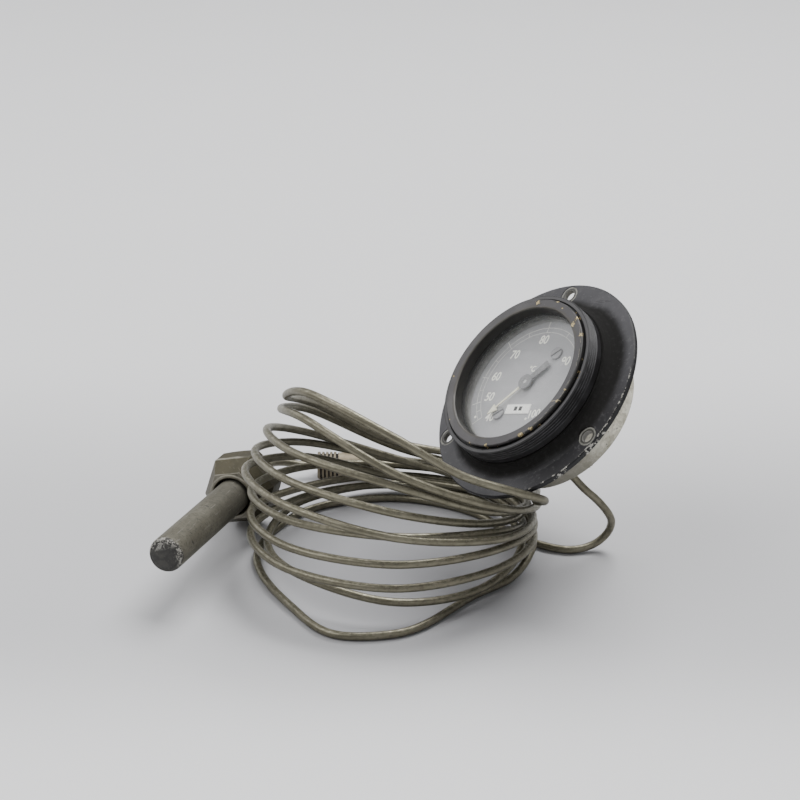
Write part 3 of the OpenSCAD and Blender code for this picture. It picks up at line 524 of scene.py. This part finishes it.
def mat_bulb():
    m = Mat("bulb_matte_metal")
    v, s, r = m.bulb()
    big = m.noise(60, 5, 0.62)
    fine = m.noise(900, 5, 0.7)
    col = m.mix(m.step(big, 0.35, 0.68), (0.112, 0.104, 0.078), (0.178, 0.168, 0.132))
    col = m.mix(m.math("MULTIPLY", m.step(fine, 0.46, 0.64), 0.65), col, (0.07, 0.066, 0.052))
    col = m.mix(m.math("MULTIPLY", m.step(s, 20, 58), 0.5), col, (0.062, 0.058, 0.046))
    ax = (BM.to_3x3() @ Vector((0, 0, 1))).normalized()
    rot = ax.to_track_quat("Z", "Y").inverted().to_euler("XYZ")
    lv = m.mapping(m.vmath("MULTIPLY", v, (1000, 1000, 1000)), rot=tuple(rot))
    scr = m.noise(1.0, 5, 0.6, vec=m.mapping(lv, scale=(2.6, 2.6, 0.12)))
    col = m.mix(m.math("MULTIPLY", m.step(scr, 0.6, 0.7), 0.5), col, (0.3, 0.29, 0.255))
    nick = m.step(m.noise(260, 3, 0.6), 0.665, 0.7)
    col = m.mix(m.math("MULTIPLY", nick, 0.75), col, (0.035, 0.033, 0.03))
    # the end is dark, worn pale at the upper left and along the right
    col = m.mix(m.math("SUBTRACT", 1.0, m.step(m.math("ADD", s, m.span(m.noise(380, 4, 0.6), 0.3, 0.7, -0.7, 0.7)), 1.4, 2.6)), col, (0.05, 0.048, 0.044))
    rim = m.math("MULTIPLY", end_wear(m, v), m.math("SUBTRACT", 1.0, m.step(m.math("ADD", s, m.span(m.noise(300, 5, 0.65), 0.3, 0.7, -1.4, 1.4)), 1.9, 2.9)))
    rim = m.math("MULTIPLY", rim, m.step(m.noise(760, 5, 0.7), 0.47, 0.56))
    col = m.mix(m.math("MULTIPLY", rim, 0.9), col, (0.42, 0.405, 0.365))
    h = m.math("ADD", m.math("MULTIPLY", fine, 0.4), m.math("MULTIPLY", scr, 0.3))
    h = m.math("SUBTRACT", h, m.math("MULTIPLY", nick, 0.6))
    return m.set(Base_Color=col, Metallic=0.3, Roughness=m.span(big, 0.3, 0.7, 0.58, 0.7), Normal=m.bump(h, 0.45, 0.00025, m.rounded(0.0016)))


def mat_bulb_tip():
    m = Mat("bulb_end_worn")
    v, s, r = m.bulb()
    n1 = m.noise(240, 5, 0.62, dist=0.6)
    fine = m.noise(1100, 4, 0.65)
    col = m.mix(m.step(n1, 0.4, 0.62), (0.04, 0.039, 0.037), (0.062, 0.06, 0.055))
    col = m.mix(m.math("MULTIPLY", m.step(fine, 0.56, 0.72), 0.35), col, (0.13, 0.127, 0.115))
    # worn through to pale metal at the upper left and along the right-hand edge only
    where = end_wear(m, v)
    br = m.math("MULTIPLY", m.step(m.noise(620, 5, 0.7), 0.49, 0.58), m.math("MULTIPLY", where, m.step(r, 1.8, 3.6)))
    col = m.mix(m.math("MULTIPLY", br, 0.9), col, (0.36, 0.35, 0.32))
    h = m.math("ADD", m.math("MULTIPLY", n1, 0.7), m.math("MULTIPLY", fine, 0.3))
    return m.set(Base_Color=col, Metallic=0.5, Roughness=m.mixf(br, 0.58, 0.42), Normal=m.bump(h, 0.35, 0.00025, m.rounded(0.0018)))


def mat_nut():
    m = Mat("nut_brown_metal")
    v, s, r = m.bulb()
    big = m.noise(70, 5, 0.62)
    fine = m.noise(800, 5, 0.7)
    col = m.mix(m.step(big, 0.35, 0.68), (0.046, 0.0405, 0.022), (0.076, 0.067, 0.039))
    col = m.mix(m.math("MULTIPLY", m.step(fine, 0.5, 0.72), 0.45), col, (0.065, 0.058, 0.04))
    e = m.edge(0.0008, 0.02, 0.14)
    wn = m.math("MULTIPLY", e, m.step(m.noise(260, 5, 0.65), 0.4, 0.6))
    col = m.mix(m.math("MULTIPLY", wn, 0.5), col, (0.3, 0.28, 0.215))
    # painted highlight: a pale patch on the upward flat, near the edge towards the bulb
    g = m.node("ShaderNodeSeparateXYZ")
    m.put(g.inputs[0], m.node("ShaderNodeNewGeometry").outputs["Normal"])
    at = m.math("ADD", s, m.span(m.noise(180, 5, 0.66), 0.3, 0.7, -0.5, 0.5))
    patch = m.math("MULTIPLY", m.math("MULTIPLY", m.step(g.outputs[2], 0.8, 0.92), band(m, at, 70.2, 72.3, 0.25)), m.span(m.noise(110, 3, 0.5), 0.42, 0.54, 0.1, 0.85))
    col = m.mix(patch, col, (0.34, 0.32, 0.26))
    # the mouth ring is rubbed to a paler grey
    ring = m.math("MULTIPLY", m.math("SUBTRACT", 1.0, m.step(s, 62.7, 63.2)), m.step(r, 7.7, 8.0))
    col = m.mix(m.math("MULTIPLY", ring, m.span(m.noise(200, 5, 0.62), 0.35, 0.6, 0.3, 0.9)), col, (0.27, 0.255, 0.21))
    scr = m.noise(1.0, 6, 0.65, vec=m.mapping(m.vmath("MULTIPLY", v, (1000, 1000, 1000)), rot=(0.3, 0.5, 0.2), scale=(0.25, 1.8, 1.0)))
    col = m.mix(m.math("MULTIPLY", m.step(scr, 0.58, 0.7), 0.35), col, (0.25, 0.23, 0.17))
    bore = m.math("MULTIPLY", m.math("SUBTRACT", 1.0, m.step(r, 7.62, 7.75)), m.math("MULTIPLY", m.step(s, 62.6, 63.4), m.math("SUBTRACT", 1.0, m.step(s, 72, 73))))
    col = m.mix(bore, col, (0.02, 0.018, 0.014))
    h = m.math("ADD", m.math("MULTIPLY", fine, 0.4), m.math("MULTIPLY", scr, 0.5))
    return m.set(Base_Color=col, Metallic=0.45, Roughness=m.mixf(wn, m.span(big, 0.3, 0.7, 0.46, 0.6), 0.4), Normal=m.bump(h, 0.3, 0.00025))


def mat_sleeve():
    m = Mat("sleeve_tan_metal")
    big = m.noise(120, 5, 0.62)
    fine = m.noise(900, 5, 0.7)
    col = m.mix(m.step(big, 0.35, 0.68), (0.24, 0.2, 0.135), (0.36, 0.31, 0.22))
    col = m.mix(m.math("MULTIPLY", m.step(fine, 0.5, 0.72), 0.5), col, (0.13, 0.11, 0.075))
    ax = (KM.to_3x3() @ Vector((1, 0, 0))).normalized()
    d = m.vmath("SUBTRACT", m.obj, tuple(K(-31.6, 66, 5.6)))
    run = m.math("MULTIPLY", m.vmath("DOT_PRODUCT", d, tuple(ax)), 1000)
    ln = m.math("MULTIPLY", m.vmath("LENGTH", d), 1000)
    rad = m.math("SQRT", m.math("MAXIMUM", m.math("SUBTRACT", m.math("MULTIPLY", ln, ln), m.math("MULTIPLY", run, run)), 0.0))
    # painted shade: the ribbed part darker and its grooves near black, as occlusion
    groove = m.math("MULTIPLY", m.math("SUBTRACT", 1.0, m.step(rad, 4.95, 5.35)), m.math("SUBTRACT", 1.0, m.step(run, 8.3, 8.6)))
    ribbed = m.math("SUBTRACT", 1.0, m.step(run, 8.4, 8.8))
    col = m.mix(m.math("MULTIPLY", ribbed, 0.55), col, (0.11, 0.092, 0.065))
    col = m.mix(groove, col, (0.012, 0.01, 0.008))
    return m.set(Base_Color=col, Metallic=0.45, Roughness=m.span(big, 0.3, 0.7, 0.45, 0.6), Normal=m.bump(fine, 0.4, 0.0002))


def metal(name, c1, c2, metallic, ra, rb, scale=300.0, edge=None):
    m = Mat(name)
    n1 = m.noise(scale, 5, 0.62)
    n2 = m.noise(scale * 4, 4, 0.65)
    col = m.mix(m.step(n1, 0.34, 0.68), c1, c2)
    col = m.mix(m.math("MULTIPLY", m.step(n2, 0.52, 0.74), 0.4), col, tuple(c * 0.5 for c in c1))
    if edge:
        e = m.edge(0.0003, 0.015, 0.12)
        col = m.mix(m.math("MULTIPLY", e, 0.6), col, edge)
    return m.set(Base_Color=col, Metallic=metallic, Roughness=m.span(n1, 0.3, 0.7, ra, rb), Normal=m.bump(n2, 0.25, 0.0001))


def mat_dial():
    m = Mat("dial_faded")
    v, x, y, z, r = m.gauge()
    big = m.noise(30, 4, 0.55)
    fine = m.noise(1300, 4, 0.6)
    col = m.mix(m.step(big, 0.35, 0.65), (0.395, 0.395, 0.408), (0.435, 0.435, 0.448))
    # painted light and shade: paler to the lower right, darker near the upper left rim, where the bezel shades the dial
    t = m.span(m.math("SUBTRACT", m.math("MULTIPLY", x, 0.75), m.math("MULTIPLY", y, 0.66)), -26, 22, 0.0, 1.0)
    col = m.mix(m.math("MULTIPLY", t, 0.75), col, (0.51, 0.51, 0.525))
    col = m.mix(m.math("MULTIPLY", m.step(fine, 0.5, 0.75), 0.22), col, (0.2, 0.2, 0.205))
    smear = m.noise(1.0, 5, 0.6, vec=m.mapping(v, rot=(0, 0, 0.7), scale=(0.05, 0.16, 1)), dist=0.4)
    col = m.mix(m.math("MULTIPLY", m.step(smear, 0.42, 0.64), 0.3), col, (0.56, 0.56, 0.575))
    # painted shade: a darker band round the dial's rim, under the bezel
    col = m.mix(m.math("MULTIPLY", m.step(r, 25.6, 26.6), 0.5), col, (0.3, 0.3, 0.295))
    return m.set(Base_Color=col, Roughness=0.75, Normal=m.bump(fine, 0.12, 0.0001))


def mat_glass():
    m = Mat("glass_hazed")
    v, x, y, z, r = m.gauge()
    n1 = m.noise(45, 5, 0.6)
    n2 = m.noise(400, 4, 0.6)
    haze_and_reflection = m.span(n1, 0.3, 0.7, 0.03, 0.065)
    # towards the rim the veil thickens softly, most at the top: a painted reflection on the glass over the real haze
    rim = m.step(r, 23.0, 27.0)
    up = m.step(m.math("ADD", m.math("MULTIPLY", x, 0.5), m.math("MULTIPLY", y, 0.85)), 0, 24)
    haze_and_reflection = m.math("ADD", haze_and_reflection, m.math("MULTIPLY", m.math("MULTIPLY", rim, m.mixf(up, 0.05, 1.0)), m.span(m.noise(260, 5, 0.66), 0.35, 0.65, 0.01, 0.09)))
    dust = m.step(m.noise(1300, 3, 0.6), 0.7, 0.74)
    haze_and_reflection = m.math("ADD", haze_and_reflection, m.math("MULTIPLY", dust, 0.1), clamp=True)
    m.m.surface_render_method = "BLENDED"
    return m.set(Base_Color=(0.72, 0.73, 0.72), Roughness=0.3, Alpha=haze_and_reflection, Normal=m.bump(n2, 0.04, 0.0001))


def mat_ink(name, col, dim):
    m = Mat(name)
    n = m.noise(900, 4, 0.65)
    n2 = m.noise(120, 4, 0.6)
    c = m.mix(m.step(n, 0.45, 0.68), col, tuple(q * dim for q in col))
    c = m.mix(m.math("MULTIPLY", m.step(n2, 0.45, 0.7), 0.15), c, (0.4, 0.4, 0.38))
    # the ink glows a little: painted light that brightens the markings
    return m.set(Base_Color=c, Roughness=0.7, Normal=m.bump(n, 0.2, 0.00005), Emission_Color=c, Emission_Strength=0.16)


def mat_pointer():
    m = Mat("pointer_paint")
    v, x, y, z, r = m.gauge()
    # the blade is painted cream outside the hub, only on the pointing side (it rests at 225 degrees)
    a = math.radians(225)
    along = m.math("ADD", m.math("MULTIPLY", x, math.cos(a)), m.math("MULTIPLY", y, math.sin(a)))
    n = m.noise(700, 4, 0.65)
    cream = m.mix(m.step(n, 0.4, 0.7), (0.93, 0.91, 0.74), (0.8, 0.78, 0.6))
    dark = m.mix(m.step(n, 0.4, 0.7), (0.2, 0.2, 0.205), (0.26, 0.26, 0.265))
    col = m.mix(m.step(along, 3.0, 3.3), dark, cream)
    col = m.mix(m.step(z, 4.95, 5.05), col, dark)
    # the paint glows a little: painted light
    return m.set(Base_Color=col, Roughness=0.6, Normal=m.bump(n, 0.2, 0.0001), Emission_Color=col, Emission_Strength=0.12)


def plain(name, c1, c2, ra, rb, scale=500.0, glow=0.0):
    m = Mat(name)
    n = m.noise(scale, 4, 0.6)
    c = m.mix(m.step(n, 0.35, 0.65), c1, c2)
    return m.set(Base_Color=c, Roughness=m.span(n, 0.3, 0.7, ra, rb), Normal=m.bump(n, 0.2, 0.0001), Emission_Color=c, Emission_Strength=glow)


MATS = {
    "flange_housing": mat_flange(), "bezel_collar": mat_collar(), "bezel_front_ring": mat_front_ring(),
    "rear_case": mat_case(), "bulb": mat_bulb(), "bulb_tip": mat_bulb_tip(), "union_nut": mat_nut(),
    "capillary_sleeve": mat_sleeve(), "dial_plate": mat_dial(), "glass": mat_glass(), "pointer": mat_pointer(),
}
MATS["back_cover"] = MATS["rear_case"]


def mat_spacer():
    """Grey where it meets the dial, darker and dusty towards the glass."""
    m = Mat("spacer_faded")
    v, x, y, z, r = m.gauge()
    n = m.noise(260, 5, 0.64)
    t = m.step(m.math("ADD", z, m.span(n, 0.3, 0.7, -0.5, 0.5)), 3.2, 6.0)
    col = m.mix(t, (0.3, 0.3, 0.29), (0.045, 0.043, 0.037))
    col = m.mix(m.math("MULTIPLY", m.step(m.noise(1100, 4, 0.62), 0.58, 0.7), 0.4), col, (0.4, 0.4, 0.38))
    return m.set(Base_Color=col, Roughness=0.75, Normal=m.bump(n, 0.2, 0.0001))


brass = metal("brass_satin", (0.5, 0.36, 0.14), (0.66, 0.5, 0.22), 0.9, 0.3, 0.45)
steel = metal("steel_satin", (0.42, 0.42, 0.42), (0.56, 0.56, 0.55), 0.95, 0.28, 0.42)
screw = metal("screw_dull", (0.2, 0.19, 0.17), (0.3, 0.28, 0.25), 0.8, 0.4, 0.55, edge=(0.5, 0.48, 0.42))
dull = metal("brass_dull", (0.19, 0.165, 0.11), (0.29, 0.25, 0.17), 0.6, 0.45, 0.6, edge=(0.42, 0.36, 0.24))
bronze = metal("bronze_satin", (0.42, 0.27, 0.12), (0.55, 0.37, 0.18), 0.9, 0.32, 0.45)
blued = metal("spring_blued", (0.16, 0.19, 0.27), (0.24, 0.27, 0.35), 0.9, 0.3, 0.4)
rubber = plain("gasket_black", (0.012, 0.012, 0.012), (0.03, 0.03, 0.03), 0.7, 0.85)
inner = plain("inner_black", (0.01, 0.01, 0.01), (0.028, 0.028, 0.027), 0.55, 0.75)
# the plate glows a little: painted light that brightens it
white = plain("plate_white", (0.96, 0.96, 0.92), (0.92, 0.92, 0.87), 0.5, 0.65, glow=0.26)
# the dark edge colour is painted shade round the screw heads, where they meet the dial
dscrew = metal("dial_screw_grey", (0.32, 0.32, 0.33), (0.38, 0.38, 0.39), 0.05, 0.55, 0.7, edge=(0.13, 0.13, 0.13))
for n in ("pinion", "sector_gear", "drive_link", "movement_front_plate", "movement_rear_plate", "movement_pillars",
          "socket_block", "bourdon_tip", "dial_posts", "slip_washer"):
    MATS[n] = brass
for n in ("pointer_arbor", "sector_arbor", "link_pins"):
    MATS[n] = steel
for n in ("back_cover_screws", "pillar_screws", "socket_screws"):
    MATS[n] = screw
for n in ("capillary_gland", "bulb_collar", "bulb_stem"):
    MATS[n] = dull
MATS.update(bourdon_tube=bronze, hairspring=blued, glass_gasket=rubber, dial_spacer_ring=mat_spacer(), dial_id_plate=white, dial_screws=dscrew)
for n, o in N.items():
    if n in MATS:
        for i in range(max(1, len(o.material_slots))):
            if i < len(o.material_slots):
                o.material_slots[i].link = "OBJECT"
                o.material_slots[i].material = MATS[n]
tube.data.materials.append(mat_tube())

# ---------------------------------------------------------------- dial markings
ink = mat_ink("dial_ink", (0.97, 0.96, 0.88), 0.92)
line_ink = mat_ink("dial_line_ink", (0.7, 0.7, 0.66), 0.75)
ZD = 3.3


def clock(a, r):
    return r * math.sin(math.radians(a)), r * math.cos(math.radians(a))


def flat_piece(name, polys, mat, thick=0.06, z=ZD):
    """polys are closed outlines in dial mm; made into thin plates on the dial."""
    bm = bmesh.new()
    for pts in polys:
        lo = [bm.verts.new(G(x, y, z)) for x, y in pts]
        hi = [bm.verts.new(G(x, y, z + thick)) for x, y in pts]
        bm.faces.new(hi)
        bm.faces.new(lo[::-1])
        for i in range(len(pts)):
            j = (i + 1) % len(pts)
            bm.faces.new((lo[i], lo[j], hi[j], hi[i]))
    bmesh.ops.recalc_face_normals(bm, faces=bm.faces)
    me = bpy.data.meshes.new(name)
    bm.to_mesh(me)
    bm.free()
    ob = bpy.data.objects.new(name, me)
    bpy.context.collection.objects.link(ob)
    me.materials.append(mat)
    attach(ob, "gauge")
    return ob


def bar(a, r0, r1, w):
    x0, y0 = clock(a, r0)
    x1, y1 = clock(a, r1)
    dx, dy = math.cos(math.radians(a)) * w / 2, -math.sin(math.radians(a)) * w / 2
    return [(x0 - dx, y0 - dy), (x1 - dx, y1 - dy), (x1 + dx, y1 + dy), (x0 + dx, y0 + dy)]


def arc_strip(name, r, w, a0, a1, mat):
    """A thin ring sector as a strip of quads."""
    n = 120
    verts, faces = [], []
    for i in range(n + 1):
        a = a0 + (a1 - a0) * i / n
        for rr in (r - w / 2, r + w / 2):
            for z in (ZD, ZD + 0.05):
                verts.append(G(*clock(a, rr), z))
    for i in range(n):
        p, q = i * 4, i * 4 + 4
        faces += [(p + 1, p + 3, q + 3, q + 1), (p, q, q + 2, p + 2), (p, p + 1, q + 1, q), (p + 2, q + 2, q + 3, p + 3)]
    faces += [(0, 2, 3, 1), (n * 4, n * 4 + 1, n * 4 + 3, n * 4 + 2)]
    ob = new_obj(name, verts, faces, smooth=False)
    ob.data.materials.append(mat)
    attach(ob, "gauge")
    return ob


MARKS = {40: -129, 50: -109, 60: -82, 70: -45, 80: -0.8, 90: 57, 100: 129}
vals = sorted(MARKS)
arc_strip("scale_arc_inner", 21.8, 0.2, -129, 129, line_ink)
arc_strip("scale_arc_outer", 23.7, 0.2, -129, 129, line_ink)
flat_piece("scale_long_ticks", [bar(MARKS[v], 21.7, {40: 26.4, 80: 26.5, 60: 25}.get(v, 25.9), 0.3) for v in vals], line_ink, 0.06)
mids = [(MARKS[a] + MARKS[b]) / 2 for a, b in zip(vals, vals[1:])]
flat_piece("scale_mid_ticks", [bar(a, 21.7, 23.8, 0.26) for a in mids], line_ink, 0.06)


def disc(a, r, rad, n=18):
    x, y = clock(a, r)
    return [(x + rad * math.cos(2 * math.pi * i / n), y + rad * math.sin(2 * math.pi * i / n)) for i in range(n)]


flat_piece("scale_end_dots", [disc(-123.5, 24.6, 0.55), disc(159.5, 15.6, 0.5)], ink, 0.06)


def words(name, text, x, y, size, mat, shear=0.12, squeeze=0.86, bold=0.0, z=ZD, body="gauge", turn=0.0):
    """Generic numbers as thin raised plates, centred on x, y in dial mm."""
    cu = bpy.data.curves.new(name, "FONT")
    cu.body = text
    cu.align_x, cu.align_y = "CENTER", "CENTER"
    cu.size = 1
    cu.offset = bold
    cu.extrude = 0.02
    cu.resolution_u = 6
    tmp = bpy.data.objects.new(name + "_t", cu)
    bpy.context.collection.objects.link(tmp)
    bpy.context.view_layer.update()
    dg = bpy.context.evaluated_depsgraph_get()
    me = bpy.data.meshes.new_from_object(tmp.evaluated_get(dg))
    bpy.data.objects.remove(tmp)
    me.name = name
    xs = [v.co.x for v in me.vertices]
    ys = [v.co.y for v in me.vertices]
    cx, cy, hh = (min(xs) + max(xs)) / 2, (min(ys) + max(ys)) / 2, max(ys) - min(ys)
    k = size / hh
    c, s = math.cos(turn), math.sin(turn)
    for v in me.vertices:
        px = (v.co.x - cx) * k * squeeze + (v.co.y - cy) * k * shear
        py = (v.co.y - cy) * k
        pz = z if v.co.z < 0 else z + 0.07
        v.co = G(x + px * c - py * s, y + px * s + py * c, pz)
    me.materials.clear()
    me.materials.append(mat)
    ob = bpy.data.objects.new(name, me)
    bpy.context.collection.objects.link(ob)
    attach(ob, body)
    return ob


PLACES = {40: (-12.9, -13.6), 50: (-17.0, -5.0), 60: (-17.6, 3.7), 70: (-12.3, 12.9), 80: (-0.3, 18.8), 90: (14.4, 9.2), 100: (8.9, -12.5)}
for v in vals:
    x, y = PLACES[v]
    words(f"dial_number_{v}", str(v), x, y, 3.3 if v == 100 else 3.7, ink, bold=0.02, turn=0.15 if v == 100 else 0.0)
words("dial_unit", "°C", -0.6, 6.4, 2.6, ink, shear=0.1, bold=0.02)

# the blank plate's two small dark squares
flat_piece("plate_windows", [[(x0, -11.3), (x0 + 1.5, -11.3), (x0 + 1.5, -9.6), (x0, -9.6)] for x0 in (-1.9, 0.5)],
           plain("window_dark", (0.03, 0.03, 0.03), (0.06, 0.06, 0.06), 0.6, 0.7), 0.04, ZD + 0.3)

# ---------------------------------------------------------------- floor and light
fl = new_obj("floor", [(-6, -6, FLOOR), (6, -6, FLOOR), (6, 6, FLOOR), (-6, 6, FLOOR)], [(0, 1, 2, 3)])
mf = Mat("floor_pale")
fn = mf.noise(18, 4, 0.5)
away = Vector((look.x, look.y, 0)).normalized()
depth = mf.vmath("DOT_PRODUCT", mf.vmath("SUBTRACT", mf.obj, (cam.location.x, cam.location.y, 0)), tuple(away))
paper = mf.mix(fn, (0.79, 0.79, 0.8), (0.81, 0.81, 0.82))
shade = mf.math("MULTIPLY", mf.step(depth, 0.52, 0.62), mf.math("SUBTRACT", 1.0, mf.step(depth, 0.68, 0.86)))
paper = mf.mix(mf.math("MULTIPLY", shade, 0.9), paper, (0.57, 0.57, 0.585))
# painted light: the floor nearer the camera brighter
paper = mf.mix(mf.math("SUBTRACT", 1.0, mf.step(depth, 0.44, 0.6)), paper, (0.96, 0.96, 0.97))
# dimmer under the coil, where the turns shade it
under = mf.math("SUBTRACT", 1.0, mf.step(mf.vmath("DISTANCE", mf.obj, tuple(K(4, -6, 0))), 0.028, 0.085))
paper = mf.mix(mf.math("MULTIPLY", under, 0.95), paper, (0.33, 0.33, 0.345))
mf.set(Base_Color=paper, Roughness=0.8)
fl.data.materials.append(mf.m)


def area(name, loc, target, size, power, color=(1, 1, 1), size_y=None):
    d = bpy.data.lights.new(name, "AREA")
    d.energy = power
    d.color = color
    d.shape = "RECTANGLE" if size_y else "SQUARE"
    d.size = size
    if size_y:
        d.size_y = size_y
    o = bpy.data.objects.new(name, d)
    bpy.context.collection.objects.link(o)
    o.location = loc
    o.rotation_mode = "QUATERNION"
    o.rotation_quaternion = (Vector(target) - Vector(loc)).to_track_quat("-Z", "Y")
    return o


def cam_dir(right, up, back):
    """A point by the camera's right, the world's up and towards the camera, in metres from the object."""
    f = Vector((look.x, look.y, 0)).normalized()
    rgt = f.cross(Vector((0, 0, 1)))
    return rgt * right + Vector((0, 0, 1)) * up - f * back


area("key", cam_dir(0.32, 1.25, -0.5), (0, 0, -0.02), 1.1, 26, size_y=0.95)
area("dial_side", cam_dir(-0.95, 1.05, 0.35), (0, 0, -0.02), 1.1, 11, size_y=1.0)
area("low_left", cam_dir(-1.3, 0.68, -0.9), (0, 0, -0.02), 1.5, 8.5, size_y=1.1)
area("front", cam_dir(0.9, 0.7, 1.3), (0, 0, -0.02), 1.3, 4, size_y=1.3)
w = bpy.data.worlds.new("studio")
w.use_nodes = True
w.node_tree.nodes["Background"].inputs[0].default_value = (0.93, 0.94, 0.96, 1)
w.node_tree.nodes["Background"].inputs[1].default_value = 0.26
bpy.context.scene.world = w
